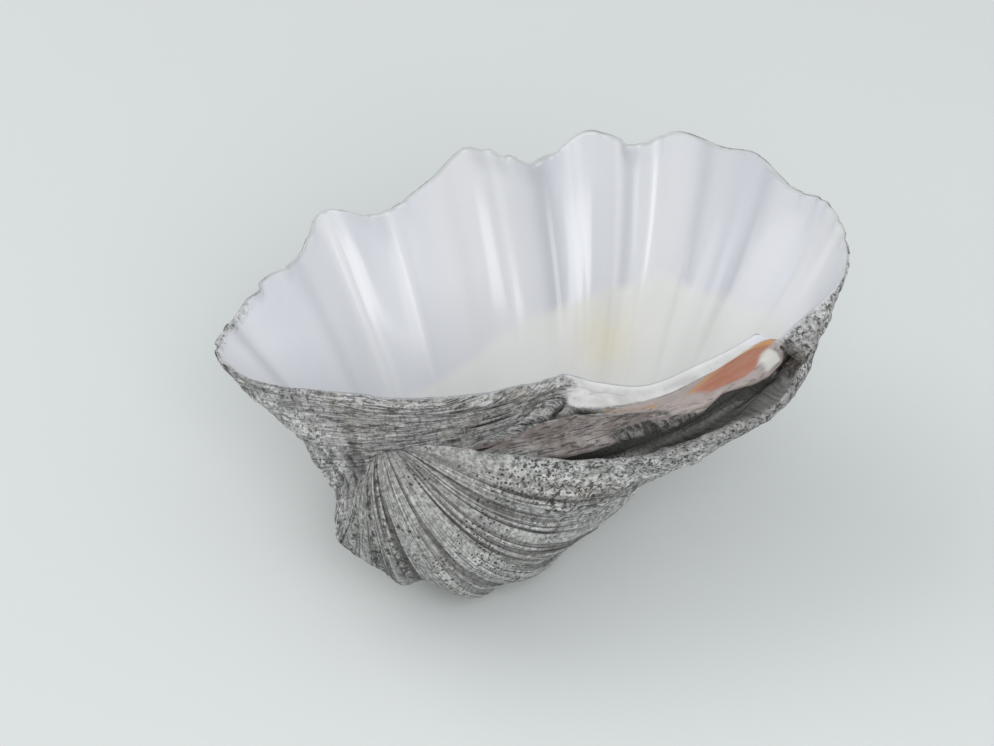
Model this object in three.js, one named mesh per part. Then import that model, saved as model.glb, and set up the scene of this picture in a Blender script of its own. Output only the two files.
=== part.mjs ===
import * as THREE from 'three';

// Giant clam shell: one left valve, lying on its convex outside with the bowl open upward.
// Millimetres, +Z up, origin on the floor under the middle of the valve.
// The hinge runs along X with the beak toward -X, and the free, scalloped edge is toward +Y.
//
// A shell grows by adding to its edge while the edge turns and widens about the beak.
// So every earlier edge is a smaller, turned copy of the present one, and the outside is the
// surface those copies sweep. In the shell's own frame the beak is at the origin, X runs along
// the hinge toward the ligament, Y toward the free edge and Z out of the bowl.

// The present edge, walked once round. Each row is one rib crest, furrow or hinge landmark:
// x, y, z (mm), share of the growth turn, relief (1 crest, -1 furrow),
// flank swell, umbo swell (both as a share of the size), bow in y and bow in z (mm).
const EDGE = [
  [202, 13, -9, 1, 0, 0.11, 0.03, 0, 0], // outer lip of the ligament groove, at its end
  [218, 34, -5, 1, 0.3, 0.12, 0, 0, 0],
  [235, 56, -1, 1, 0.4, 0.05, -0.03, 0, 0],
  [242, 80, 2, 1, 0.4, -0.04, -0.05, 0, 0],
  [239, 105, 3, 1, 0.5, -0.08, -0.08, 0, 0], // crest of the rear rib
  [226, 125, -1, 1, -0.3, -0.09, -0.11, 0, 0],
  [214, 151, 3, 1, 0.25, -0.07, -0.12, 0, 0], // crest
  [199, 168, -2, 1, -0.2, -0.06, -0.11, 0, 0],
  [178, 182, 3, 1, 0.35, -0.05, -0.07, 0, 0], // crest
  [157, 186, -3, 1, -0.3, -0.03, -0.03, 0, 0],
  [131, 197, 4, 1, 1, 0.01, 0.01, 0, 0], // crest
  [101, 191, -4, 1, 0, 0.05, 0.08, 0, 0],
  [68, 205, 4, 1, 1, 0, 0.1, 0, 0], // crest, the one the valve rests on
  [41, 188, 0, 1, 0.2, 0, 0.16, 0, 0],
  [12, 175, -4, 1, -1, -0.02, 0.18, 0, 0],
  [-17, 178, 3, 1, 0.9, -0.06, 0.13, 0, 0], // crest
  [-34, 154, -4, 1, -0.8, -0.1, 0.2, 0, 0],
  [-53, 135, 2, 1, 0.8, -0.15, 0.2, 0, 0], // crest of the front rib
  [-70, 116, -3, 1, -0.5, -0.2, 0.25, 0, 0],
  [-79, 98, 0, 1, 0.3, -0.25, 0.28, 0, 0],
  [-75, 81, 0, 1, 0.2, -0.24, 0.3, 0, 0], // front tip
  [-56, 62, -1, 1, 0, -0.25, 0.28, 0, 0],
  [-30, 49, -2, 0.97, 0, -0.22, 0.2, 0, 0], // byssal edge, grown in layers
  [3, 33, -2, 0.9, 0, -0.15, 0.1, 0, 0],
  [40, 23, -2, 0.72, 0, -0.08, 0, 0, 0],
  [72, 21, -1, 0.45, 0, 0, 0, -4, -1],
  [92, 22, 0, 0.15, 0, 0, 0, -8, -2], // knob where the byssal edge meets the hinge plate
  [106, 14, -1, 0.03, 0, 0, 0, -12, -3],
  [130, 6, -1, 0, 0, 0, 0, -10, -3], // inner edge of the hinge plate
  [160, 14, -1, 0, 0, 0, 0, -17, -3],
  [186, 23, 1, 0, 0, 0, 0, -24, -4], // tooth
  [196, 22, -3, 0, 0, 0, 0, -28, -4], // edge of the nymph
  [197, 21, -12, 0, 0, 0, 0, -24, -11], // bottom of the ligament groove
  [198, 20, -8, 1, 0, 0.05, 0, 0, 0], // inner lip of the groove
];

// Growth: the edge shrinks by exp(-(RATE a + SPEEDUP a^2)) when it is turned back by a radians.
const RATE = 0.385;
const SPEEDUP = 0.08;
const FULL_TURN = THREE.MathUtils.degToRad(236.8);
const GROWTH_AXIS = new THREE.Vector3(1, -0.091, 0.138).normalize();

// Ribs stand out by this share of the distance from the beak, near the edge and on the umbo.
const EDGE_RELIEF = 0.012;
const UMBO_RELIEF = 0.05;

// Turns, in radians, between which ribs and swell come in, going back from the edge.
const EDGE_RIBS_RISE = [0, 0.3];
const UMBO_RIBS_RISE = [0.3, 2.2];
const FLANK_SWELLS = [0, 0.6];
const FLANK_EASES = [1.2, 2.2];
const UMBO_SWELLS = [1, 2.2];

// The bowl: inner growth loops stay this far inside the outer ones, up to a last loop
// that closes as the floor of the bowl.
const BOWL_CENTRE = new THREE.Vector3(80, 95, 0);
const BOWL_TURN = THREE.MathUtils.degToRad(80);
const RIM_THICKNESS = 3;
const WALL_GAIN = 5.5;
const HINGE_RIM = 7;
const HINGE_GAIN = 26;

// Turns between which the walls thicken, the ribs fade inside and the edge's waves level out,
// and the share of the way to the floor over which the inner loops close.
const WALL_THICKENS = [0, 1.1];
const HINGE_THICKENS = [0, 0.6];
const INNER_RIBS_FADE = [0.25, 1];
const WAVES_LEVEL = [0, 0.5];
const LOOPS_CLOSE = [0.45, 1];

// Rows between which the hinge side begins and ends, and its broad rear end likewise.
const HINGE_BEGINS = [19.5, 23];
const HINGE_ENDS = [0.5, 2.5];
const HINGE_REAR_BEGINS = [29.5, 31];
const HINGE_REAR_ENDS = [0.3, 1.3];

// At rest the rear end and the free edge stand a little high, and the lowest rib is worn flat.
const REAR_LIFT = THREE.MathUtils.degToRad(9.9);
const EDGE_LIFT = THREE.MathUtils.degToRad(8.2);
const WORN_DEPTH = 5.5;

// Grid: samples round the edge, outer growth loops and inner growth loops.
const AROUND = EDGE.length * 3;
const OUTER_LOOPS = 28;
const INNER_LOOPS = 14;

function smooth([low, high], x) {
  const t = Math.min(Math.max((x - low) / (high - low), 0), 1);
  return t * t * (3 - 2 * t);
}

// Catmull-Rom curve through the rows of EDGE, at row number s; all nine columns at once.
function edgeAt(s) {
  const n = EDGE.length;
  const i = Math.floor(s);
  const f = s - i;
  const rows = [-1, 0, 1, 2].map((k) => EDGE[(i + k + 2 * n) % n]);
  return rows[0].map((_, c) => {
    const [a, b, d, e] = rows.map((row) => row[c]);
    const linear = (d - a) * f;
    const square = (2 * a - 5 * b + 4 * d - e) * f * f;
    const cube = (3 * b - a - 3 * d + e) * f * f * f;
    return 0.5 * (2 * b + linear + square + cube);
  });
}

// The edge with its ribs averaged out, for the smooth floor of the bowl.
function smoothEdgeAt(s) {
  const near = [-2, -1, 0, 1, 2].map((k) => edgeAt(s + k));
  return [0, 1, 2].map((c) => {
    const sum = near[0][c] + 2 * near[1][c] + 2 * near[2][c] + 2 * near[3][c] + near[4][c];
    return sum / 8;
  });
}

function growth(a) {
  return Math.exp(-(RATE * a + SPEEDUP * a * a));
}

// How far the flank and the umbo swell at turn a, as a share of the size.
function swell(row, a) {
  const flank = smooth(FLANK_SWELLS, a) * (1 - smooth(FLANK_EASES, a));
  const umbo = smooth(UMBO_SWELLS, a);
  return flank * row[5] + umbo * row[6];
}

// A point of the outside, at row number s and turned back by a.
function outerPoint(s, a) {
  const row = edgeAt(s);
  const share = Math.min(Math.max(row[3], 0), 1);
  const size = growth(a);
  const umboRelief = (UMBO_RELIEF - EDGE_RELIEF) * smooth(UMBO_RIBS_RISE, a);
  const relief = EDGE_RELIEF * smooth(EDGE_RIBS_RISE, a) + umboRelief;
  const p = new THREE.Vector3(row[0], row[1], row[2]);
  p.applyAxisAngle(GROWTH_AXIS, -a * share);
  p.multiplyScalar(size * (1 + relief * row[4] + swell(row, a)));
  const bow = 4 * size * (1 - size);
  p.y += row[7] * bow;
  p.z += row[8] * bow;
  return p;
}

// 1 along the byssal edge, the hinge plate and the groove, 0 along the free edge.
function hingeShare(s) {
  return smooth(HINGE_BEGINS, s) + (1 - smooth(HINGE_ENDS, s));
}

// 1 at the rear end of the hinge, where the rim is broadest.
function hingeEndShare(s) {
  return smooth(HINGE_REAR_BEGINS, s) + (1 - smooth(HINGE_REAR_ENDS, s));
}

function wallAt(s, a) {
  const hinge = hingeShare(s);
  const free = RIM_THICKNESS + WALL_GAIN * smooth(WALL_THICKENS, a);
  const thick = HINGE_RIM * (1 + hingeEndShare(s)) + HINGE_GAIN * smooth(HINGE_THICKENS, a);
  return free * (1 - hinge) + thick * hinge;
}

// A point of the inside: t runs from 0 at the rim to 1 at the middle of the floor.
function innerPoint(s, t) {
  const a = BOWL_TURN * Math.sin(t * Math.PI / 2);
  const row = edgeAt(s);
  const even = smoothEdgeAt(s);
  const hinge = hingeShare(s);
  const fade = smooth(INNER_RIBS_FADE, a) * (1 - hinge);
  const closing = smooth(LOOPS_CLOSE, t);
  const size = growth(a);
  const p = new THREE.Vector3(row[0], row[1], row[2]);
  p.lerp(new THREE.Vector3(...even), fade);
  p.z *= (1 - smooth(WAVES_LEVEL, a)) * (1 - hinge);
  const reach = Math.hypot(p.x - BOWL_CENTRE.x, p.y - BOWL_CENTRE.y);
  const inset = Math.min(Math.max(1 - wallAt(s, a) / (size * reach), 0), 1);
  p.sub(BOWL_CENTRE);
  p.multiplyScalar(inset * Math.sqrt(Math.max(1 - closing * closing, 0)));
  p.add(BOWL_CENTRE);
  p.applyAxisAngle(GROWTH_AXIS, -a);
  return p.multiplyScalar(size * (1 + swell(row, a)));
}

// All loops in order: outside from the beak to the edge, then inside from the rim to the floor.
function loops() {
  const rings = [];
  for (let k = 0; k < OUTER_LOOPS; k += 1) {
    const a = FULL_TURN * (1 - k / (OUTER_LOOPS - 1));
    rings.push((s) => outerPoint(s, a));
  }
  for (let k = 0; k < INNER_LOOPS; k += 1) {
    const t = k / INNER_LOOPS;
    rings.push((s) => innerPoint(s, t));
  }
  return rings.map((ring) => {
    const points = [];
    for (let j = 0; j < AROUND; j += 1) {
      points.push(ring(j * EDGE.length / AROUND));
    }
    return points;
  });
}

function middleOf(points) {
  const sum = points.reduce((total, p) => total.add(p), new THREE.Vector3());
  return sum.divideScalar(points.length);
}

// Turn the valve into its rest pose, wear the lowest rib flat and stand it on the floor.
function settle(points) {
  points.forEach((p) => {
    p.applyAxisAngle(new THREE.Vector3(0, 1, 0), -REAR_LIFT);
    p.applyAxisAngle(new THREE.Vector3(1, 0, 0), EDGE_LIFT);
  });
  const floor = Math.min(...points.map((p) => p.z)) + WORN_DEPTH;
  points.forEach((p) => {
    p.z = Math.max(p.z - floor, 0);
  });
  const box = new THREE.Box3().setFromPoints(points);
  const middle = box.getCenter(new THREE.Vector3());
  points.forEach((p) => {
    p.x -= middle.x;
    p.y -= middle.y;
  });
}

// Triangles of the closed grid: bands between neighbouring loops and a fan at each pole.
function triangles(ringCount, beak, floor) {
  const index = [];
  for (let i = 0; i < ringCount - 1; i += 1) {
    for (let j = 0; j < AROUND; j += 1) {
      const next = (j + 1) % AROUND;
      const a = i * AROUND + j;
      const b = i * AROUND + next;
      const c = (i + 1) * AROUND + next;
      const d = (i + 1) * AROUND + j;
      index.push(a, b, c, a, c, d);
    }
  }
  for (let j = 0; j < AROUND; j += 1) {
    const next = (j + 1) % AROUND;
    index.push(next, j, beak);
    index.push((ringCount - 1) * AROUND + j, (ringCount - 1) * AROUND + next, floor);
  }
  return index;
}

function valveGeometry() {
  const rings = loops();
  const points = rings.flat();
  const beak = points.push(middleOf(rings[0])) - 1;
  const floor = points.push(innerPoint(0, 1)) - 1;
  settle(points);
  const geometry = new THREE.BufferGeometry().setFromPoints(points);
  geometry.setIndex(triangles(rings.length, beak, floor));
  geometry.computeVertexNormals();
  return geometry;
}

const valve = new THREE.Mesh(
  valveGeometry(),
  new THREE.MeshStandardMaterial({ color: 0xb9b8b4, roughness: 0.85, metalness: 0, flatShading: true }),
);
valve.name = 'valve';

const part = new THREE.Group();
part.name = 'giant_clam_shell';
part.add(valve);

export default part;
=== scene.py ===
import itertools
from math import pi, radians

import bpy
import numpy as np
from mathutils import Euler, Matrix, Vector


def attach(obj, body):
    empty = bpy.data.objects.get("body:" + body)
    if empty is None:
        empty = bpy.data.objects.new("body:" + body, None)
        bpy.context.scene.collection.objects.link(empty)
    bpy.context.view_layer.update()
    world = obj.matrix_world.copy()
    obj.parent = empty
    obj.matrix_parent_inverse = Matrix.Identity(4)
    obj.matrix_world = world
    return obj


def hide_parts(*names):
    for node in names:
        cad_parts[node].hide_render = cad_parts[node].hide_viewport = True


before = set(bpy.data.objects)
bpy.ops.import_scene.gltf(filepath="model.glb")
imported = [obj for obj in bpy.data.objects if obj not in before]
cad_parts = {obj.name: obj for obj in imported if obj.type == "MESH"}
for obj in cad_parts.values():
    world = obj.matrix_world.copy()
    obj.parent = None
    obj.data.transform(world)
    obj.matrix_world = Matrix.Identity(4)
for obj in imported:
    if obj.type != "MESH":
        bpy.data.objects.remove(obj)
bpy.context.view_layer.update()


# ---- Valve ---------------------------------------------------------------------------------
# One half of a giant clam, laid down by the animal as it grew. Every earlier edge is a smaller,
# turned copy of the present one, so the outside is the surface those copies sweep.
# It is all one piece of shell: porcelain inside, chalky, bored and flaking outside.

MM = 0.001

# The present edge, walked once round, in the shell's own frame: the beak at the origin, X along
# the hinge, Y toward the free edge, Z out of the bowl. Each row is a rib crest, furrow or hinge
# landmark: x, y, z (mm), share of the growth turn, relief (1 crest, -1 furrow),
# flank swell, umbo swell (shares of the size), bow in y and bow in z (mm).
EDGE = np.array([
    [202, 13, -9, 1, 0, 0.11, 0.03, 0, 0],  # outer lip of the ligament groove, at its end
    [218, 34, -5, 1, 0.3, 0.12, 0, 0, 0],
    [235, 56, -1, 1, 0.4, 0.05, -0.03, 0, 0],
    [242, 80, 2, 1, 0.4, -0.04, -0.05, 0, 0],
    [239, 105, 3, 1, 0.5, -0.08, -0.08, 0, 0],  # crest of the rear rib
    [226, 125, -1, 1, -0.3, -0.09, -0.11, 0, 0],
    [214, 151, 3, 1, 0.25, -0.07, -0.12, 0, 0],  # crest
    [199, 168, -2, 1, -0.2, -0.06, -0.11, 0, 0],
    [178, 182, 3, 1, 0.35, -0.05, -0.07, 0, 0],  # crest
    [157, 186, -3, 1, -0.3, -0.03, -0.03, 0, 0],
    [131, 197, 4, 1, 1, 0.01, 0.01, 0, 0],  # crest
    [101, 191, -4, 1, 0, 0.05, 0.08, 0, 0],
    [68, 205, 4, 1, 1, 0, 0.1, 0, 0],  # crest, the one the valve rests on
    [41, 188, 0, 1, 0.2, 0, 0.16, 0, 0],
    [12, 175, -4, 1, -1, -0.02, 0.18, 0, 0],
    [-17, 178, 3, 1, 0.9, -0.06, 0.13, 0, 0],  # crest
    [-34, 154, -4, 1, -0.8, -0.1, 0.2, 0, 0],
    [-53, 135, 2, 1, 0.8, -0.15, 0.2, 0, 0],  # crest of the front rib
    [-70, 116, -3, 1, -0.5, -0.2, 0.25, 0, 0],
    [-79, 98, 0, 1, 0.3, -0.25, 0.28, 0, 0],
    [-75, 81, 0, 1, 0.2, -0.24, 0.3, 0, 0],  # front tip
    [-56, 62, -1, 1, 0, -0.25, 0.28, 0, 0],
    [-30, 49, -2, 0.97, 0, -0.22, 0.2, 0, 0],  # byssal edge, grown in layers
    [3, 33, -2, 0.9, 0, -0.15, 0.1, 0, 0],
    [40, 23, -2, 0.72, 0, -0.08, 0, 0, 0],
    [72, 21, -1, 0.45, 0, 0, 0, -4, -1],
    [92, 22, 0, 0.15, 0, 0, 0, -8, -2],  # knob where the byssal edge meets the hinge plate
    [106, 14, -1, 0.03, 0, 0, 0, -12, -3],
    [130, 6, -1, 0, 0, 0, 0, -10, -3],  # inner edge of the hinge plate
    [160, 14, -1, 0, 0, 0, 0, -17, -3],
    [186, 23, 1, 0, 0, 0, 0, -24, -4],  # tooth
    [196, 22, -3, 0, 0, 0, 0, -28, -4],  # edge of the nymph
    [197, 21, -12, 0, 0, 0, 0, -24, -11],  # bottom of the ligament groove
    [198, 20, -8, 1, 0, 0.05, 0, 0, 0],  # inner lip of the groove
])
ROWS = len(EDGE)
GROOVE_ROW = 32

# Growth: how fast the edge shrinks as it is turned back about the beak, and how far back it
# goes. The ribs' height is a share of the size, low near the edge and higher on the umbo.
RATE = 0.385
SPEEDUP = 0.08
FULL_TURN = radians(236.8)
GROWTH_AXIS = np.array([1, -0.091, 0.138]) / np.linalg.norm([1, -0.091, 0.138])
EDGE_RELIEF = 0.012
UMBO_RELIEF = 0.05

# The bowl, and the wall between it and the outside, in mm.
BOWL_CENTRE = np.array([80, 95, 0])
BOWL_TURN = radians(80)
RIM_THICKNESS = 3
WALL_GAIN = 5.5
HINGE_RIM = 7
HINGE_GAIN = 26

# The pose at rest, and how many mm of the lowest rib are worn flat.
REAR_LIFT = radians(9.9)
EDGE_LIFT = radians(8.2)
WORN_DEPTH = 5.5


def smooth(low, high, x):
    """0 before low, 1 past high, and 3t^2 - 2t^3 between, t being the way from low to high."""
    t = np.clip((x - low) / (high - low), 0, 1)
    return t * t * (3 - 2 * t)


def edge_at(s):
    """EDGE at row number s: the Catmull-Rom cubic through the two rows on each side of s."""
    row = np.floor(s).astype(int)
    f = (s - row)[..., None]
    a, b, c, d = (EDGE[(row + k) % ROWS] for k in (-1, 0, 1, 2))
    cubic = (3 * b - a - 3 * c + d) * f
    return 0.5 * (2 * b + ((c - a) + ((2 * a - 5 * b + 4 * c - d) + cubic) * f) * f)


def even_edge_at(s):
    """The edge with its ribs averaged out: weights 1, 2, 2, 2, 1 on the rows around s."""
    near = sum(weight * edge_at(s + k) for k, weight in zip(range(-2, 3), (1, 2, 2, 2, 1)))
    return near[..., :3] / 8


def growth(a):
    """Size of the edge turned back by a: exp(-(RATE a + SPEEDUP a^2))."""
    return np.exp(-(RATE * a + SPEEDUP * a * a))


def turned(points, angle, axis):
    """Rodrigues' rotation: p cos + (axis x p) sin + axis (axis . p)(1 - cos)."""
    angle = np.asarray(angle)[..., None]
    along = (points @ axis)[..., None] * axis
    return (points * np.cos(angle) + np.cross(axis, points) * np.sin(angle)
            + along * (1 - np.cos(angle)))


def swell(row, a):
    """Share by which the flank, then the umbo, stand out at turn a."""
    flank = smooth(0, 0.6, a) * (1 - smooth(1.2, 2.2, a))
    return flank * row[..., 5] + smooth(1, 2.2, a) * row[..., 6]


def outside(s, a):
    """Edge point at row s, turned back by a, times growth(a) (1 + ribs + swell), plus the bow.

    The bow is zero at the edge and at the beak: 4 size (1 - size) times the row's last columns.
    """
    row = edge_at(s)
    size = growth(a)
    relief = (EDGE_RELIEF * smooth(0, 0.3, a)
              + (UMBO_RELIEF - EDGE_RELIEF) * smooth(0.3, 2.2, a)) * row[..., 4]
    points = turned(row[..., :3], -a * np.clip(row[..., 3], 0, 1), GROWTH_AXIS)
    points = points * (size * (1 + relief + swell(row, a)))[..., None]
    points[..., 1:] += row[..., 7:] * (4 * size * (1 - size))[..., None]
    return points


def hinge_share(s):
    """1 along the byssal edge, hinge plate and groove, 0 along the free edge, by smooth steps."""
    return smooth(19.5, 23, s) + (1 - smooth(0.5, 2.5, s))


def wall(s, a):
    """Thickness in mm: a rim value plus a gain with the turn a, mixed by hinge_share.

    The hinge's rim value is doubled at its rear end.
    """
    hinge = hinge_share(s)
    rear = smooth(29.5, 31, s) + (1 - smooth(0.3, 1.3, s))
    free = RIM_THICKNESS + WALL_GAIN * smooth(0, 1.1, a)
    thick = HINGE_RIM * (1 + rear) + HINGE_GAIN * smooth(0, 0.6, a)
    return free * (1 - hinge) + thick * hinge


def inside(s, t):
    """The same edge drawn in by the wall's thickness and turned back by BOWL_TURN sin(t pi/2).

    Its ribs fade with the turn, and past t = 0.45 the loops close on the bowl's centre along
    a quarter circle, sqrt(1 - closing^2).
    """
    a = BOWL_TURN * np.sin(t * pi / 2)
    row = edge_at(s)
    hinge = hinge_share(s)
    size = growth(a)
    fade = (smooth(0.25, 1, a) * (1 - hinge))[..., None]
    points = row[..., :3] * (1 - fade) + even_edge_at(s) * fade
    points[..., 2] *= (1 - smooth(0, 0.5, a)) * (1 - hinge)
    reach = np.hypot(points[..., 0] - BOWL_CENTRE[0], points[..., 1] - BOWL_CENTRE[1])
    inset = np.clip(1 - wall(s, a) / (size * reach), 0, 1)
    closing = smooth(0.45, 1, t)
    draw = (inset * np.sqrt(1 - closing ** 2))[..., None]
    points = turned(BOWL_CENTRE + (points - BOWL_CENTRE) * draw, -a, GROWTH_AXIS)
    return points * (size * (1 + swell(row, a)))[..., None]


def at_rest(points):
    """The shell's frame turned about Y, then about X, so that it lies on its lowest rib."""
    points = turned(points, -REAR_LIFT, np.array([0, 1, 0]))
    return turned(points, EDGE_LIFT, np.array([1, 0, 0]))


# The grid of the CAD solid: columns to a row, and loops outside and inside.
SOLID_PER_ROW = 3
SOLID_OUTER = 28
SOLID_INNER = 14


def resting_place():
    """How far the settled points move: down to the worn base, and to the middle in x and y.

    The box is taken on the CAD solid's own grid, so that both lie in the same place.
    """
    s = np.arange(ROWS * SOLID_PER_ROW) / SOLID_PER_ROW
    a = FULL_TURN * (1 - np.arange(SOLID_OUTER) / (SOLID_OUTER - 1))
    t = np.arange(SOLID_INNER) / SOLID_INNER
    points = np.concatenate([outside(*np.meshgrid(s, a)), inside(*np.meshgrid(s, t))])
    points = at_rest(points)
    low = points.min((0, 1))
    high = points.max((0, 1))
    return np.array([*(low + high)[:2] / -2, -(low[2] + WORN_DEPTH)])


LATTICE_PRIMES = np.array([73856093, 19349663, 83492791])
SEED_PRIME = 7919
FIRST_MIX = 1274126177
SECOND_MIX = 668265263
LOW_32_BITS = 0xFFFFFFFF


def grain(coords, seed):
    """Value noise from -1 to 1: random corners of a unit lattice, blended by 3t^2 - 2t^3.

    A corner's value is a hash of its whole numbers and the seed: a sum of products with primes,
    then two rounds of shift, exclusive or and multiply.
    """
    corner = np.floor(coords).astype(np.int64)
    part = coords - corner
    part = part * part * (3 - 2 * part)
    total = np.zeros(coords.shape[:-1])
    for step in itertools.product((0, 1), repeat=3):
        mixed = (corner + step) @ LATTICE_PRIMES + seed * SEED_PRIME
        mixed = (mixed ^ (mixed >> 13)) * FIRST_MIX & LOW_32_BITS
        mixed = (mixed ^ (mixed >> 16)) * SECOND_MIX & LOW_32_BITS
        share = np.prod(np.where(step, part, 1 - part), -1)
        total += share * (mixed / (LOW_32_BITS // 2) - 1)
    return total


def grained(seed, *coords):
    """Value noise of up to three coordinates, each already in cells."""
    filled = np.broadcast_arrays(*coords, *([0.5] * (3 - len(coords))))
    return grain(np.stack(filled, -1), seed)


# Columns of the grid round the edge, and loops over the outside, the rim and the inside. The
# outside loops lie evenly along the growth path, a little closer near the edge; the inside
# ones crowd there. The path's scale is the edge's usual distance from the beak, in mm, and the
# rim counts as RIM_WIDTH mm of it.
PER_ROW = 18
COLUMNS = ROWS * PER_ROW
OUTER = 122
RIM = 4
INNER = 34
EDGE_REACH = 200
RIM_WIDTH = 9
EDGE_CROWDING = 1.15
BOWL_CROWDING = 1.6

s_line = GROOVE_ROW + np.arange(COLUMNS) * ROWS / COLUMNS
turn_steps = np.linspace(0, FULL_TURN, 4000)
path = np.cumsum(EDGE_REACH * growth(turn_steps)) * FULL_TURN / len(turn_steps)
still_back = 1 - np.arange(OUTER) / (OUTER - 1)
turn_line = np.interp(path[-1] * still_back ** EDGE_CROWDING, path, turn_steps)
turn_line[-1] = 0
t_line = (np.arange(INNER) / INNER) ** BOWL_CROWDING

s, turn = np.meshgrid(s_line % ROWS, turn_line)
s_in, t = np.meshgrid(s_line % ROWS, t_line)
outer_shell = outside(s, turn)
inner_shell = inside(s_in, t)
ring = s[0] + ROWS * (s[0] < ROWS / 2)  # rows counted on past the groove, so the hinge is one run

# Inside the hinge's rear end the edge turns sharply: each point moves to the mean of its
# neighbours within half a row.
near = range(-PER_ROW // 2, PER_ROW // 2 + 1)
mean = sum(np.roll(inner_shell, shift, 1) for shift in near) / len(near)
evened = smooth(30.4, 31.4, ring) * (1 - smooth(35, 36, ring))
inner_shell += (mean - inner_shell) * evened[:, None]

# Close to the free edge the outside is drawn halfway to the inside, so that the edge is thin.
across_rim = (np.arange(1, RIM + 1) / (RIM + 1))[:, None]
thin = (0.5 * (1 - smooth(0, 0.07, turn)) * (1 - hinge_share(s)))[..., None]
outer_shell += (inner_shell[0] - outer_shell[-1]) * thin
rim_shell = outer_shell[-1] + (inner_shell[0] - outer_shell[-1]) * across_rim[..., None]
shell = np.concatenate([outer_shell, rim_shell, inner_shell])
loops = len(shell)

# At every point: its row number, its walk back from the edge along the growth path in mm
# (negative over the rim and inside), its turn, and its depth t inside.
rows = np.broadcast_to(s[0], (loops, COLUMNS))
ring = np.broadcast_to(ring, (loops, COLUMNS))
rim_walk = -RIM_WIDTH * across_rim * np.ones(COLUMNS)
inner_walk = np.full((INNER, COLUMNS), -RIM_WIDTH)
walk = np.concatenate([np.interp(turn, turn_steps, path), rim_walk, inner_walk])
turn_back = np.concatenate([turn, np.zeros((RIM, COLUMNS)), BOWL_TURN * np.sin(t * pi / 2)])
depth = np.concatenate([np.zeros((OUTER + RIM, COLUMNS)), t])

# How far across the rim the porcelain stops: short of it along the byssal edge and the rear end
# of the hinge, and right over it on the hinge plate.
bare_rim = np.interp(ring[0], [18, 20, 21, 25.6, 26.2, 27, 30.3, 31, 32.5, 33, 34.6, 36],
                     [0.2, 0.8, 1.2, 1.2, 0.5, -0.2, -0.2, 0.6, 0.7, 1.1, 1.1, 0.3])
inner_rim = smooth(bare_rim - 0.2, bare_rim + 0.2, across_rim)
inner = np.concatenate([np.zeros((OUTER, COLUMNS)), inner_rim, np.ones((INNER, COLUMNS))])


def normals_of(points):
    """Cross product of the grid's two directions, the columns closing on themselves."""
    across = np.roll(points, -1, 1) - np.roll(points, 1, 1)
    along = np.gradient(points, axis=0)
    normal = np.cross(across, along)
    return normal / np.maximum(np.linalg.norm(normal, axis=-1, keepdims=True), 1e-9)


def band(low, rise, high, fall, x):
    """1 between low + rise and high, 0 below low and above high + fall."""
    return smooth(low, low + rise, x) * (1 - smooth(high, high + fall, x))


# Where each kind of surface lies, 0 to 1, from the row number and the walk back in mm. First the
# outside away from the hinge: its lined umbo, front flank, free side and rear slope, and the
# layered byssal edge.
out = 1 - inner
free_edge = 1 - hinge_share(rows)
lines_from = np.interp(rows, [2, 9], [1.4, 0.9])
turned_back = smooth(lines_from, lines_from + 0.8, turn_back)
umbo = turned_back * out * band(1.5, 2.5, 19.5, 2, rows)
flank = band(18.6, 1, 21.6, 1.4, rows) * out
free_side = free_edge * (1 - turned_back) * out
slope = band(33.6, 0.6, 37.5, 3, ring) * (1 - smooth(1.9, 2.6, turn_back)) * out
byssal = band(20.8, 1.6, 26.2, 0.4, rows) * out

# Behind the hinge's inner edge: the white plate, its orange end with a golden border, and the
# tooth beside it.
plate_to = np.interp(ring, [26, 26.6, 27, 27.4, 27.8, 28.2, 28.6, 29, 29.6],
                     [30, 52, 48, 41, 24, 24, 28, 12, 0])
plate_to += grain(shell / 5, 19) * 3
plate = band(25.9, 0.6, 29.6, 0.2, ring) * (1 - smooth(-4, 5, walk - plate_to)) * (depth == 0)
orange_from = np.interp(walk, [0, 5, 20, 60, 97], [29.5, 29.3, 29.05, 29.4, 29.7])
orange_to = np.interp(walk, [0, 8, 27, 46, 58, 83, 94], [30.35, 30.4, 30.5, 30.92, 30.9, 30.6, 30.55])
orange = smooth(-0.12, 0.1, ring - orange_from) * (1 - smooth(-0.06, 0.08, ring - orange_to))
orange = orange * (1 - smooth(90, 102, walk)) * out
golden = orange * np.maximum(1 - smooth(0, 0.4, ring - orange_from), 1 - smooth(4, 16, walk))
tooth = smooth(-0.15, 0.15, ring - orange_to) * (1 - smooth(31.3, 31.5, ring)) * out
tooth = tooth * band(13, 5, 32, 7, walk)
# Then the swollen log that carried the ligament, with a pink band before it and a line of ochre
# between the two, and the cracked rest of the ligament on its far side.
log_from = np.interp(ring, [26.4, 26.65, 26.9, 27.3, 27.8, 28.3, 28.8, 29.4, 30, 30.6, 31.1],
                     [230, 176, 98, 74, 74, 86, 106, 126, 134, 136, 118])
log_to = np.interp(walk, [0, 20, 36, 56, 63, 88, 110, 140, 165, 190, 240],
                   [31.7, 31.9, 31.9, 31.6, 31.4, 31.05, 31.4, 31.35, 31.15, 30.95, 31])
hinge = band(26.3, 0.3, 36, 0.5, ring) * out
log = smooth(-4, 4, walk - log_from) * (1 - smooth(-0.1, 0.1, ring - log_to)) * hinge
rounded = smooth(-4, 26, walk - log_from) * (1 - smooth(-1.1, 0.1, ring - log_to)) * hinge
rounded = rounded * (1 - smooth(225, 280, walk))
pink = (1 - smooth(-0.1, 0.1, ring - log_to)) * (1 - smooth(-5, 5, walk - log_from))
pink = pink * smooth(-8, 14, walk - plate_to) * smooth(27.5, 28, ring) * (1 - orange)
pink = pink * (1 - tooth) * out
pink_low = pink * np.maximum(smooth(-30, -6, walk - log_from), smooth(30.3, 30.9, ring))
pink_log = log * (1 - smooth(232, 262, walk))
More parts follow.
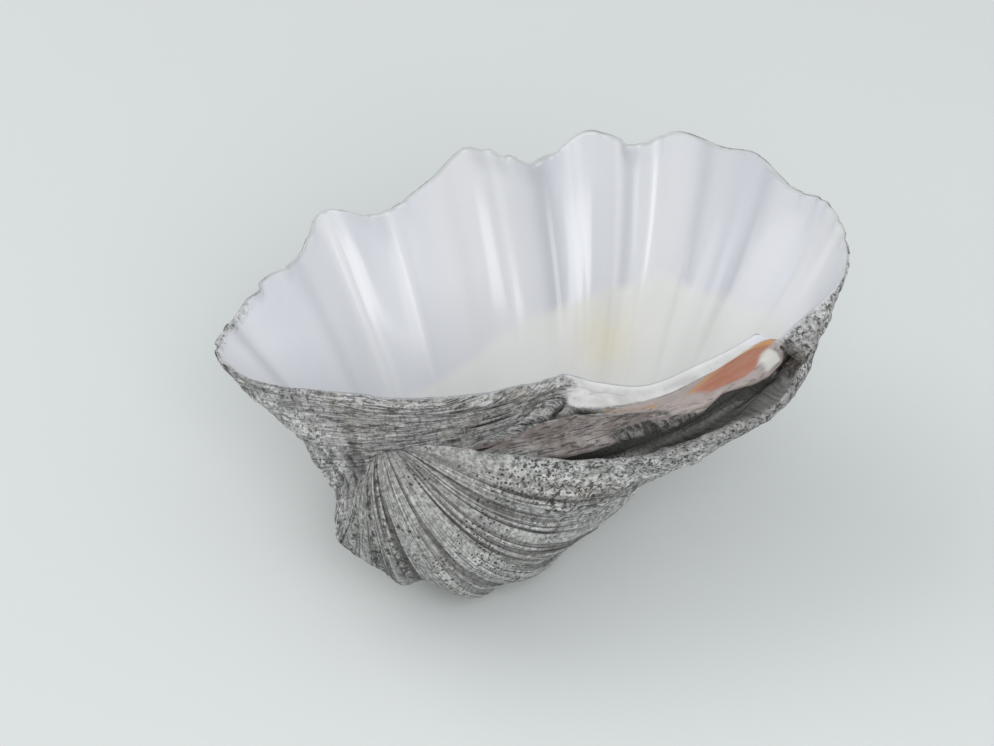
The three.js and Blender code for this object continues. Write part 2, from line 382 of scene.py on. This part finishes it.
ochre = np.exp(-((walk - np.interp(ring, [27.4, 28.1, 28.5, 29.1], [50, 60, 76, 100])) / 6) ** 2)
ochre = ochre * band(27.3, 0.3, 28.9, 0.4, ring) * out
ligament_from = np.interp(walk, [108, 121, 140, 160, 188, 200],
                          [31.3, 31.15, 30.8, 30.45, 30.1, 30.5])
ligament = smooth(-0.1, 0.06, ring - ligament_from) * (1 - smooth(-0.1, 0.1, ring - log_to))
ligament = ligament * band(108, 8, 184, 10, walk) * out
# Last the ligament's groove with its far wall, the rough rear end of the hinge, and a brown
# stain on the slope; clean is where there are no pits.
wall_from = np.interp(walk, [0, 10, 36, 56, 91, 120, 160, 188, 230],
                      [33, 33.2, 33.2, 32.6, 32.2, 32.3, 32, 31.9, 31.8])
wall_to = np.interp(walk, [0, 30, 71, 140, 151, 190, 230],
                    [34.5, 34.3, 33.8, 33, 32.5, 31.8, 31.5])
rear_end = band(31, 0.5, 33.9, 0.8, ring) * (1 - smooth(12, 30, walk + grain(shell / 9, 18) * 7)) * out
past_log = smooth(-0.1, 0.1, ring - log_to) * hinge * (1 - smooth(225, 260, walk)) * (1 - rear_end)
past_log = past_log * np.maximum(smooth(4, 18, walk), 1 - smooth(32.6, 33.2, ring))
groove = past_log * (1 - smooth(-0.25, 0.45, ring - wall_from))
wall_face = past_log * smooth(-0.15, 0.25, ring - wall_from) * (1 - smooth(-0.1, 0.2, ring - wall_to))
brown = np.exp(-((ring - 36.7) / 0.9) ** 2 - ((walk - 244) / 20) ** 2) * out
clean = np.clip(plate + pink + orange + tooth + wall_face * 0.8, 0, 1)

# Patterns of the outside, noise of about -1 to 1. Riblets and the cuts between them run from
# the beak to the edge, in groups; lamellae run along the edge, and so do the byssal layers,
# which sweep back by SWEEP mm into folds beside the plate. Lumps and crumbs lie all over.
SWEEP = 52
riblets = grained(1, rows * 5.4, walk / 70)
groups = smooth(-0.3, 0.3, grained(13, rows * 1.1, walk / 130))
broken = 0.75 + 0.25 * grained(17, rows * 3, walk / 12)
lined = np.clip(umbo + 0.55 * flank + 0.55 * free_side * (1 - slope) + 0.15, 0, 1)
cuts = smooth(0, 0.42, riblets) * (0.2 + 0.8 * groups) * broken * lined
lamellae = grained(2, rows * 0.7, walk / 7) * (0.7 - 0.5 * umbo + free_side)
ribs = np.maximum(edge_at(rows)[..., 4], -0.3) * band(0.04, 0.25, 0.9, 0.6, turn_back) * free_side
sweep = SWEEP * smooth(23.2, 26.6, rows)
layers = grained(3, rows * 1.5, (walk + sweep) / 5.5 + grained(4, rows * 2.4, walk / 18) * 1.2)
swept = grained(11, (walk + sweep) / 10, rows * 1.3) * band(23.6, 1, 26.5, 0.3, rows)
swept = swept * smooth(-9, 20, walk)
lumps = grain(shell / 16, 5) * 1.1 + grain(shell / 6, 6) * 0.6
rough = np.clip(0.5 - edge_at(rows)[..., 4], 0, 1) * umbo * band(13.4, 1.2, 20, 1, rows)
rough = np.clip(rough + rear_end + slope * 0.6 + flank * 0.5 + free_side * 0.2, 0, 1) * out
crumbs = grain(shell / 3.2, 15)

# At the hinge plate's front end: a hollow beside the knob, a cleft in the folds and a hole, painted
# dark as its shade.
# Behind them a ridge runs along the near lip of the ligament groove.
hollow_at = np.interp(ring, [25.6, 26.2, 26.56, 26.83, 27.1, 27.4, 27.7],
                      [140, 118, 102, 76, 62, 51, 50])
hollow = np.exp(-((walk - hollow_at) / 9) ** 2) * band(25.5, 0.7, 27.2, 0.4, ring) * out
cleft = np.exp(-((ring - 26.4 - 0.004 * (walk - 60)) / 0.11) ** 2) * band(38, 14, 86, 14, walk) * out
shaded_hole = np.exp(-((ring - 27.1) / 0.35) ** 2 - ((walk - 58) / 7) ** 2) * out
ridge_at = np.interp(walk, [0, 19, 34, 63, 86, 110, 140],
                     [31.4, 31.55, 31.6, 31.15, 30.78, 30.85, 30.3])
ridge = np.exp(-((ring - ridge_at) / 0.22) ** 2) * band(6, 10, 112, 20, walk) * out
knob = band(26.2, 0.4, 27.2, 0.5, ring) * (1 - smooth(22, 44, walk))
fibres = grained(12, rows * 6, walk / 24)

# The relief of the outside, in mm: each pattern times its height. Nothing is cut deeper than
# a share of the wall.
RIBLET_RISE = 0.45
CUT_DEPTH = 0.8
LAYER_RISE = 1.4
FOLD_RISE = 3.4
CRUMB_RISE = 1.1
RIB_RISE = 3.5
RIDGE_RISE = 1.6
TOOTH_RISE = 1.2
KNOB_RISE = 2.2
LOG_RISE = 4.5
FIBRE_RISE = 0.7
LIGAMENT_RISE = 0.5
HOLLOW_DEPTH = 5
HOLE_DEPTH = 3
CLEFT_DEPTH = 3.5
GROOVE_DEPTH = 2.5
DEEPEST_SHARE = 0.4

quiet = 1 - np.clip(0.9 * groove + 0.8 * clean + 0.35 * log, 0, 1)
byssal_relief = (layers * LAYER_RISE + swept * FOLD_RISE) * byssal
outer_relief = riblets * RIBLET_RISE * lined - cuts * CUT_DEPTH + lamellae + lumps * (1 - 0.5 * umbo)
outer_relief = outer_relief * (1 - 0.6 * byssal) + byssal_relief + crumbs * rough * CRUMB_RISE
outer_relief = quiet * outer_relief
bumps = grain(shell / 9, 20)
knob_rise = knob * (KNOB_RISE + bumps * 1.2 + crumbs * 0.8)
outer_relief += ribs * RIB_RISE + ridge * RIDGE_RISE + tooth * TOOTH_RISE + knob_rise
log_rise = rounded * (LOG_RISE + bumps * 1.2) + log * fibres * FIBRE_RISE
outer_relief += log_rise + ligament * (LIGAMENT_RISE + crumbs * 0.8)
outer_relief -= hollow * HOLLOW_DEPTH + shaded_hole * HOLE_DEPTH + cleft * CLEFT_DEPTH + groove * GROOVE_DEPTH
outer_relief = np.maximum(outer_relief * out, -DEEPEST_SHARE * wall(rows, turn_back))
outer_relief *= np.clip(smooth(0, 0.05, turn_back) + 0.7 * byssal + rear_end + 0.6 * slope, 0, 1)

# Inside: soft flutes, fine pleats, and a low ridge behind each furrow of the outside, all dying
# toward the floor. Rows and strengths are given for the ridges, rows for the pleats.
FURROW_ROWS = [5.5, 7.25, 9.15, 10.92, 13.95, 16.2, 18.3]
FURROW_RIDGES = [0.5, 0.6, 0.6, 1, 0.35, 0.4, 0.7]
PLEAT_ROWS = [8.6, 9.42, 10.2, 10.4, 11.7, 13.85, 14.8, 15.05]
PLEAT_RISE = 0.7
FURROW_RISE = 2.2
dying = (1 - smooth(0.3, 0.8, turn_back)) * free_edge * inner
flutes = grained(7, rows * 1.1, turn_back * 1.2) * 0.8 + grained(8, rows * 3.2, turn_back * 2.5) * 0.4
pleats = sum(np.exp(-((rows - at) / 0.1) ** 2) for at in PLEAT_ROWS)
furrow = sum(share * np.exp(-((rows - at) / 0.2) ** 2)
             for at, share in zip(FURROW_ROWS, FURROW_RIDGES))
furrow = furrow * dying
height = outer_relief + (flutes + pleats * PLEAT_RISE) * dying + furrow * FURROW_RISE

# The duller floor of the bowl begins this far in, by row, as a share of the way to the middle.
floor_from = np.interp(rows, [0, 2, 4, 8.3, 9.8, 11.3, 13.4, 14.6, 17, 23, 25, 31, 34],
                       [0.2, 0.18, 0.165, 0.16, 0.19, 0.2, 0.245, 0.28, 0.5, 0.5, 0.3, 0.1, 0.2])
past_floor = (depth - floor_from + grain(shell / 22, 16) * 0.025) * inner
stain = np.exp(-((rows - 9.5) / 0.9) ** 2 - ((depth - 0.25) / 0.04) ** 2) * inner

# The porcelain is frayed along the front tip; along the inner edge of the plate it is painted paler, a
# painted highlight over the shade behind the crest.
fray = 0.014 * grained(21, rows * 5)
frayed = band(17, 1, 21.5, 1, rows) * (1 - smooth(0.004, 0.016, depth - fray)) * inner
plate_edge_highlight = band(26.4, 0.4, 30.4, 0.4, ring) * smooth(-2, -RIM_WIDTH, walk)
plate_edge_highlight = plate_edge_highlight * (1 - smooth(0.03, 0.08, depth))

# Chips draw the free edge toward the middle by up to CHIP mm, less at the rear rib, and the
# byssal edge is ragged, on both faces alike.
CHIP = 6
chips = np.clip(grained(9, rows * 2.2) + 0.9 * grained(10, rows * 6.5) - 0.15, 0, 1) * CHIP
chips = chips * free_edge * (0.3 + 0.7 * smooth(4, 9, rows))
ragged = grained(22, rows * 3.2) * 1.3 + grained(23, rows * 8) * 0.8
ragged = ragged * band(19, 1.5, 26, 0.6, rows)
chips = (chips + ragged) * (1 - smooth(0, 0.05, turn_back))
toward = BOWL_CENTRE - shell
toward = toward / np.linalg.norm(toward, axis=-1, keepdims=True)

# Each point moves out by its relief and in by its chips, and the valve is set down at rest.
points = shell + normals_of(shell) * height[..., None] + toward * chips[..., None]
place = resting_place()
points = at_rest(points) + place
points[..., 2] = np.maximum(points[..., 2], 0)

# Quads join the loops, and a fan closes each pole: the beak, and the middle of the bowl's floor.
beak = points[0].mean(0)
floor_point = at_rest(inside(np.zeros(1), np.ones(1)))[0] + place
corners = np.concatenate([points.reshape(-1, 3), [beak, floor_point]]) * MM
column = np.arange(COLUMNS)
beside = (column + 1) % COLUMNS
loop = np.arange(loops - 1)[:, None] * COLUMNS
quads = np.stack([loop + column, loop + beside, loop + COLUMNS + beside, loop + COLUMNS + column], -1)
last = (loops - 1) * COLUMNS
beak_fan = np.stack([beside, column, np.full(COLUMNS, loops * COLUMNS)], -1)
floor_fan = np.stack([last + column, last + beside, np.full(COLUMNS, loops * COLUMNS + 1)], -1)

mesh = bpy.data.meshes.new("clam_valve")
mesh.from_pydata(corners.tolist(), [],
                 quads.reshape(-1, 4).tolist() + beak_fan.tolist() + floor_fan.tolist())
mesh.polygons.foreach_set("use_smooth", [True] * len(mesh.polygons))


def paint(name, values):
    """A number at every vertex that the material reads by name; the two poles repeat the ends."""
    layer = mesh.attributes.new(name, "FLOAT", "POINT")
    flat = np.concatenate([values.ravel(), [values[0].mean(), values[-1].mean()]])
    layer.data.foreach_set("value", flat.astype(np.float32))


# The pattern map: u is the row number from the groove round to it again, v the walk back along
# growth in mm, running on below zero inside, and swept as the byssal layers are. It is cut along
# the groove.
BOWL_REACH = 90
v = walk - BOWL_REACH * turn_back * inner * (walk < 0)
v_sweep = np.append(np.where(ring[0] > GROOVE_ROW, 0, sweep[0]), sweep[0, 0])
v = np.concatenate([v, v[:, :1]], 1) + v_sweep
u_quads = np.stack([column, column + 1, column + 1, column], -1) * ROWS / COLUMNS
u_quads = np.broadcast_to(u_quads, (loops - 1, COLUMNS, 4))
v_quads = np.stack([v[:-1, :-1], v[:-1, 1:], v[1:, 1:], v[1:, :-1]], -1)
u_fan = np.stack([column, column + 1, column + 0.5], -1) * ROWS / COLUMNS
map_points = np.concatenate([
    np.stack([u_quads, v_quads], -1).reshape(-1, 2),
    np.stack([u_fan[:, [1, 0, 2]], np.full((COLUMNS, 3), v[0, 0])], -1).reshape(-1, 2),
    np.stack([u_fan, np.full((COLUMNS, 3), v[-1, 0])], -1).reshape(-1, 2),
])
mesh.uv_layers.new(name="growth").data.foreach_set("uv", map_points.ravel().astype(np.float32))

# Painted shade: how dark the hollow places are, less where the surface stands up.
shade = hollow + cleft * 1.4 - 0.4 * byssal_relief
shade = shade - 0.25 * lumps * quiet - 0.3 * crumbs * rough - ridge * 0.3

masks = {
    "inner": inner, "byssal": byssal, "umbo": umbo, "flank": flank, "free_side": free_side,
    "slope": slope, "rough": rough, "brown": brown, "clean": clean, "shade": shade,
    "plate": plate, "plate_edge_highlight": plate_edge_highlight, "orange": orange, "golden": golden, "tooth": tooth,
    "pink": pink, "pink_low": pink_low, "ochre": ochre, "shaded_hole": shaded_hole, "log": log,
    "pink_log": pink_log, "rounded": rounded, "ligament": ligament, "groove": groove,
    "wall_face": wall_face, "rear_end": rear_end, "cuts": cuts * quiet * out,
    "edge": (depth == 0) * (walk < 0) * free_edge, "frayed": frayed, "furrow": furrow,
    "pleats": pleats * dying, "past_floor": past_floor, "stain": stain,
}
for name, values in masks.items():
    paint(name, values)

valve = bpy.data.objects.new("clam_valve", mesh)
bpy.context.scene.collection.objects.link(valve)


# The finish: porcelain white with a lavender cast inside, duller and yellowish on the floor of
# the bowl, orange on the hinge plate; grey, chalky and bored outside, with dark lines along
# its growth.

class Wire:
    """A socket of a node tree. Arithmetic on it adds Math nodes, so 1 - mask reads as written."""

    def __init__(self, tree, socket):
        self.tree = tree
        self.socket = socket

    def node(self, kind, settings, sockets, output=0):
        """Add a node: its settings first, then the value or the link of each of its sockets."""
        made = self.tree.nodes.new(kind)
        for name, value in settings.items():
            setattr(made, name, value)
        for name, value in sockets.items():
            if isinstance(value, Wire):
                self.tree.links.new(value.socket, made.inputs[name])
            else:
                made.inputs[name].default_value = value
        return Wire(self.tree, made.outputs[output])

    def math(self, operation, other, turned_round=False):
        """This and other through a Math node, with other first if turned_round."""
        pair = (other, self) if turned_round else (self, other)
        return self.node("ShaderNodeMath", {"operation": operation}, {0: pair[0], 1: pair[1]})

    def __add__(self, other):
        return self.math("ADD", other)

    def __sub__(self, other):
        return self.math("SUBTRACT", other)

    def __rsub__(self, other):
        return self.math("SUBTRACT", other, True)

    def __mul__(self, other):
        return self.math("MULTIPLY", other)

    __radd__ = __add__
    __rmul__ = __mul__

    def most(self, other):
        """The greater of the two."""
        return self.math("MAXIMUM", other)

    def least(self, other):
        """The smaller of the two."""
        return self.math("MINIMUM", other)

    def step(self, low, high):
        """0 below low, 1 above high (or the other way round), smooth between."""
        return self.node("ShaderNodeMapRange", {"interpolation_type": "SMOOTHSTEP"},
                         {"Value": self, "From Min": low, "From Max": high})

    def mix(self, first, second):
        """The first colour where this is 0, the second where it is 1."""
        return self.node("ShaderNodeMix", {"data_type": "RGBA"}, {0: self, 6: first, 7: second}, 2)

    def stretched(self, x, y, z):
        """A vector multiplied part by part."""
        return self.node("ShaderNodeVectorMath", {"operation": "MULTIPLY"}, {0: self, 1: (x, y, z)})

    def noise(self, scale, detail=2.0, roughness=0.5, distortion=0.0):
        """Noise at this vector, about 0.5 on average."""
        sockets = {"Vector": self, "Scale": scale, "Detail": detail,
                   "Roughness": roughness, "Distortion": distortion}
        return self.node("ShaderNodeTexNoise", {}, sockets)

    def cells(self, scale):
        """Distance to the nearest of scattered points."""
        return self.node("ShaderNodeTexVoronoi", {}, {"Vector": self, "Scale": scale})


def new_material(name):
    """A material with one Principled shader, and a wire to start its nodes from."""
    material = bpy.data.materials.new(name)
    material.use_nodes = True
    tree = material.node_tree
    shader = tree.nodes["Principled BSDF"]
    return material, shader, Wire(tree, None)


def feed(wire, socket):
    """Link a wire to one of the shader's own sockets."""
    wire.tree.links.new(wire.socket, socket)


# Colours of the inside, from the white to the stain on the floor.
WHITE = (0.70, 0.705, 0.725, 1)
LAVENDER = (0.65, 0.66, 0.71, 1)
PAINTED_HIGHLIGHT = (0.82, 0.825, 0.84, 1)
FURROW_SHADE = (0.49, 0.50, 0.53, 1)
EDGE_GREY = (0.46, 0.475, 0.465, 1)
DULL = (0.73, 0.73, 0.70, 1)
CREAM = (0.765, 0.765, 0.745, 1)
YELLOW = (0.77, 0.71, 0.55, 1)

# Colours of the hinge: the plate, its orange end, the pink band, the log, the ligament's rest,
# the groove's far wall and the rear end.
PLATE_WHITE = (0.62, 0.615, 0.60, 1)
PLATE_GREY = (0.46, 0.45, 0.43, 1)
ORANGE = (0.34, 0.125, 0.068, 1)
SALMON = (0.35, 0.165, 0.115, 1)
GOLDEN = (0.46, 0.25, 0.10, 1)
OCHRE = (0.42, 0.24, 0.10, 1)
TOOTH = (0.56, 0.55, 0.49, 1)
PINK = (0.38, 0.315, 0.295, 1)
LOG_PINK = (0.15, 0.118, 0.11, 1)
LOG_PALE = (0.31, 0.275, 0.265, 1)
LIGAMENT_GREY = (0.19, 0.19, 0.185, 1)
WALL_GREY = (0.13, 0.127, 0.122, 1)
END_BROWN = (0.07, 0.058, 0.05, 1)

# Colours of the outside.
CHALK = (0.57, 0.57, 0.555, 1)
PALE_CHALK = (0.76, 0.76, 0.75, 1)
GREY = (0.21, 0.21, 0.20, 1)
BROWN = (0.17, 0.14, 0.105, 1)
DARK = (0.035, 0.033, 0.03, 1)

material, shader, start = new_material("clam_shell")
place_on = start.node("ShaderNodeTexCoord", {}, {}, "Object")
lines = start.node("ShaderNodeUVMap", {"uv_map": "growth"}, {})


def painted(name):
    """The number that paint() put at every vertex under this name."""
    return start.node("ShaderNodeAttribute", {"attribute_name": name}, {}, "Fac")


is_inner = painted("inner")
is_byssal = painted("byssal")
is_log = painted("log")
is_ligament = painted("ligament")
# Painted shade: the ligament's groove is painted nearly black.
groove_shade = painted("groove")
is_umbo = painted("umbo")
is_flank = painted("flank")
is_free = painted("free_side")
is_slope = painted("slope")
is_rough = painted("rough")
is_clean = painted("clean")
is_orange = painted("orange")
is_end = painted("rear_end")

# Outside: chalk over grey, dark in its cuts, layers and pits, with painted shade in its hollows and
# grooves. Noises per metre give spots; those on the pattern map, stretched along the walk, give lines
# along growth.
mottle = place_on.noise(60, 4, 0.6)
speckle = place_on.noise(420, 4, 0.8)
bored = place_on.noise(340, 4, 0.7, 0.6)
fine_line = lines.stretched(8, 0.014, 0).noise(1, 3, 0.6).step(0.47, 0.36)
growth_line = lines.stretched(0.8, 0.3, 0).noise(1, 4, 0.65, 0.4).step(0.46, 0.34)
layer_line = lines.stretched(2.0, 0.36, 0).noise(1, 5, 0.7, 1.5).step(0.49, 0.40)
fibre_line = lines.stretched(5, 0.07, 0).noise(1, 4, 0.65, 0.8).step(0.47, 0.36)
block_gap = lines.stretched(0.9, 0.2, 0).noise(1, 4, 0.65, 1.0).step(0.48, 0.38)
clusters = place_on.noise(28, 2)
pits = place_on.cells(290).step(0.32, 0.14) * clusters.step(0.54, 0.64)
pits = pits.most(place_on.cells(520).step(0.34, 0.18) * place_on.noise(40, 2).step(0.50, 0.60))
pits = pits.most(bored.step(0.46, 0.38) * (is_slope * 0.8 + is_rough * 0.7 + is_end * 0.6).least(1))
pits = pits * (1 - is_clean) * (1 - is_log * 0.8) * (1 - is_byssal * 0.6)
faint = fine_line * (0.2 + 0.6 * is_umbo + 0.3 * is_flank)
faint = faint + growth_line * (0.4 - 0.3 * is_umbo + 0.5 * is_free)
faint = faint * (1 - is_byssal * 0.8) + layer_line * is_byssal * 0.9
faint = faint * (1 - is_log) + fibre_line * is_log.most(is_ligament) * 0.8
faint = faint * (1 - is_clean * 0.9) + fibre_line * painted("pink_low") * 0.7
# Painted shade at the foot of the log, where its rounding falls away.
log_foot_shade = is_log * painted("rounded").step(0.4, 0.05)

outer = speckle.step(0.36, 0.64).mix(GREY, CHALK)
chalky = (is_flank * 0.8 + is_byssal * 0.7 + is_free * 0.6 + is_slope * 0.3).least(1)
outer = (chalky * speckle.step(0.36, 0.56)).mix(outer, PALE_CHALK)
outer = (mottle.step(0.58, 0.36) * (0.4 + 0.4 * is_rough)).mix(outer, GREY)
outer = (is_byssal * mottle.step(0.45, 0.62) * 0.5).mix(outer, BROWN)
outer = (painted("brown") * bored.step(0.6, 0.4)).mix(outer, BROWN)
outer = (is_rough * is_umbo * bored.step(0.53, 0.42) * 0.7).mix(outer, DARK)
outer = (is_end * (1 - speckle.step(0.5, 0.7) * 0.4)).mix(outer, END_BROWN)
veined = place_on.noise(90, 4, 0.65).step(0.42, 0.66)
outer = (painted("pink_log") * 0.85).mix(outer, veined.mix(LOG_PINK, LOG_PALE))
outer = painted("pink").mix(outer, place_on.noise(150, 4, 0.7).step(0.3, 0.7).mix(LOG_PALE, PINK))
outer = (painted("ochre") * mottle.step(0.3, 0.6)).mix(outer, OCHRE)
streaks = lines.stretched(0.5, 0.2, 0).noise(1, 4, 0.65).step(0.35, 0.65)
outer = (painted("wall_face") * 0.92).mix(outer, streaks.mix(DARK, WALL_GREY))
outer = (is_ligament * 0.85).mix(outer, speckle.step(0.35, 0.65).mix(DARK, LIGAMENT_GREY))
rosy = lines.stretched(3, 0.03, 0).noise(1, 3, 0.6).step(0.35, 0.65).mix(ORANGE, SALMON)
outer = is_orange.mix(outer, painted("golden").mix(rosy, GOLDEN))
outer = painted("tooth").mix(outer, mottle.step(0.3, 0.7).mix(CHALK, TOOTH))
# Dark lines of the surface (cuts, growth lines, cracks between the ligament's blocks), plus painted
# shade in the hollows, the groove, the hole and at the log's foot.
dark_lines_and_shade = painted("cuts") + faint * 0.65 + painted("shade").step(0.15, 1.0) * 0.75
dark_lines_and_shade = dark_lines_and_shade + groove_shade * 0.92 + painted("shaded_hole") + log_foot_shade * 0.5
dark_lines_and_shade = (dark_lines_and_shade + block_gap * is_ligament * 0.9).least(0.95)
outer = dark_lines_and_shade.mix(outer, DARK)
outer = (pits * (0.88 - 0.3 * is_free)).mix(outer, DARK)

# Inside: porcelain, with painted shade along the ridge behind each furrow and painted highlights along
# the pleats, a duller yellowish floor, a grey free edge, frayed at the front tip, and the plate's
# dusty white with a painted highlight along its inner edge.
veil = lines.stretched(0.45, 0.004, 0).noise(1, 2)
inner_colour = veil.step(0.38, 0.62).mix(WHITE, LAVENDER)
# Painted shade along the ridge behind each outer furrow.
inner_colour = (painted("furrow") * 0.9).mix(inner_colour, FURROW_SHADE)
# Painted highlight: the pleats are painted paler along their length.
inner_colour = (painted("pleats") * 0.45).mix(inner_colour, PAINTED_HIGHLIGHT)
patch = (painted("past_floor") + place_on.noise(30, 3) * 0.02).step(0.0, 0.03)
bowl_floor = place_on.noise(26, 3).step(0.3, 0.7).mix(DULL, CREAM)
inner_colour = (patch * 0.9).mix(inner_colour, bowl_floor)
inner_colour = (painted("stain") * 0.8).mix(inner_colour, YELLOW)
inner_colour = (painted("edge") * 0.7).mix(inner_colour, EDGE_GREY)
fray_colour = speckle.step(0.36, 0.64).mix(DARK, CHALK)
inner_colour = (painted("frayed") * bored.step(0.62, 0.45)).mix(inner_colour, fray_colour)
plate_colour = mottle.step(0.3, 0.7).mix(PLATE_GREY, PLATE_WHITE)
plate_colour = (bored.step(0.42, 0.34) * 0.35).mix(plate_colour, GREY)
inner_colour = (painted("plate") * 0.85).mix(inner_colour, plate_colour)
# Painted highlight along the plate's inner edge, lightening the shade behind its crest.
inner_colour = (painted("plate_edge_highlight") * 0.55).mix(inner_colour, PAINTED_HIGHLIGHT)

# Porcelain is glossy under a thin clear coat, less so on the floor; the outside is dull.
CHALK_ROUGHNESS = 0.88
POLISH = 0.58
FLOOR_DULLING = 0.2
COAT = 0.5
COAT_ROUGHNESS = 0.18
BUMP_HEIGHT = 0.0012
is_white = is_inner.most(painted("plate"))
colour = is_white.mix(outer, inner_colour)
gloss = is_white.most(is_clean * 0.5)
feed(colour, shader.inputs["Base Color"])
dulled = is_white * patch * FLOOR_DULLING
feed(CHALK_ROUGHNESS - gloss * POLISH + dulled, shader.inputs["Roughness"])
feed(gloss * (1 - patch * 0.7) * COAT, shader.inputs["Coat Weight"])
shader.inputs["Coat Roughness"].default_value = COAT_ROUGHNESS

rise = speckle * 0.6 - pits - faint * 0.8 - block_gap * is_ligament
rough_rise = rise * (1 - is_white) * (1 - is_clean * 0.7)
bump = start.node("ShaderNodeBump", {},
                  {"Height": rough_rise, "Distance": BUMP_HEIGHT, "Strength": 0.9})
feed(bump, shader.inputs["Normal"])

mesh.materials.append(material)
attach(valve, "root")
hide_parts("valve")


# ---- Floor and light -----------------------------------------------------------------------
# A plain pale floor that runs out of sight, under a pale sky and three square soft lamps: one in
# front, one behind on the left, and a weak low one on the right.

FLOOR_SIZE = 12
FLOOR_COLOUR = (0.71, 0.735, 0.73, 1)
PALER_FLOOR = (0.725, 0.75, 0.745, 1)
SKY_COLOUR = (0.95, 0.98, 1, 1)
SKY_STRENGTH = 0.62

floor_mesh = bpy.data.meshes.new("floor")
half = FLOOR_SIZE / 2
floor_mesh.from_pydata([(-half, -half, 0), (half, -half, 0), (half, half, 0), (-half, half, 0)],
                       [], [(0, 1, 2, 3)])
floor_object = bpy.data.objects.new("floor", floor_mesh)
bpy.context.scene.collection.objects.link(floor_object)
floor_material, floor_shader, floor_start = new_material("floor")
floor_spot = floor_start.node("ShaderNodeTexCoord", {}, {}, "Object").noise(1.5, 2)
floor_colour = floor_spot.step(0.3, 0.7).mix(FLOOR_COLOUR, PALER_FLOOR)
feed(floor_colour, floor_shader.inputs["Base Color"])
floor_shader.inputs["Roughness"].default_value = 0.9
floor_mesh.materials.append(floor_material)


def soft_lamp(name, place_m, aim_m, size_m, watts, colour_rgb):
    """A square area light at a place, turned to look at a point."""
    data = bpy.data.lights.new(name, "AREA")
    data.size = size_m
    data.energy = watts
    data.color = colour_rgb
    lamp = bpy.data.objects.new(name, data)
    lamp.location = place_m
    lamp.rotation_euler = (Vector(aim_m) - Vector(place_m)).to_track_quat("-Z", "Y").to_euler()
    bpy.context.scene.collection.objects.link(lamp)


soft_lamp("front", place_m=(0.2, -2.4, 1.7), aim_m=(0, 0, 0),
          size_m=2.2, watts=42, colour_rgb=(1, 1, 1))
soft_lamp("rear_left", place_m=(-2, 1.4, 2.2), aim_m=(0, 0, 0),
          size_m=2.8, watts=29, colour_rgb=(1, 0.99, 0.97))
soft_lamp("low_right", place_m=(2, -1.6, 0.8), aim_m=(0, 0, 0.05),
          size_m=1.5, watts=3, colour_rgb=(0.97, 0.99, 1))

world = bpy.data.worlds.new("studio")
world.use_nodes = True
world.node_tree.nodes["Background"].inputs["Color"].default_value = SKY_COLOUR
world.node_tree.nodes["Background"].inputs["Strength"].default_value = SKY_STRENGTH
bpy.context.scene.world = world
bpy.context.scene.view_settings.view_transform = "Standard"


# ---- Camera --------------------------------------------------------------------------------
# A fairly long lens above the hinge side, a metre away, looking down 38 degrees into the bowl.

LENS = 68.8
CAMERA_PLACE = (-0.1195, -0.7521, 0.6639)
CAMERA_TURN = Euler((radians(52.0), radians(0.1), radians(-7.9)))

camera_data = bpy.data.cameras.new("camera")
camera_data.lens = LENS
camera = bpy.data.objects.new("camera", camera_data)
camera.location = CAMERA_PLACE
camera.rotation_euler = CAMERA_TURN
bpy.context.scene.collection.objects.link(camera)
bpy.context.scene.camera = camera
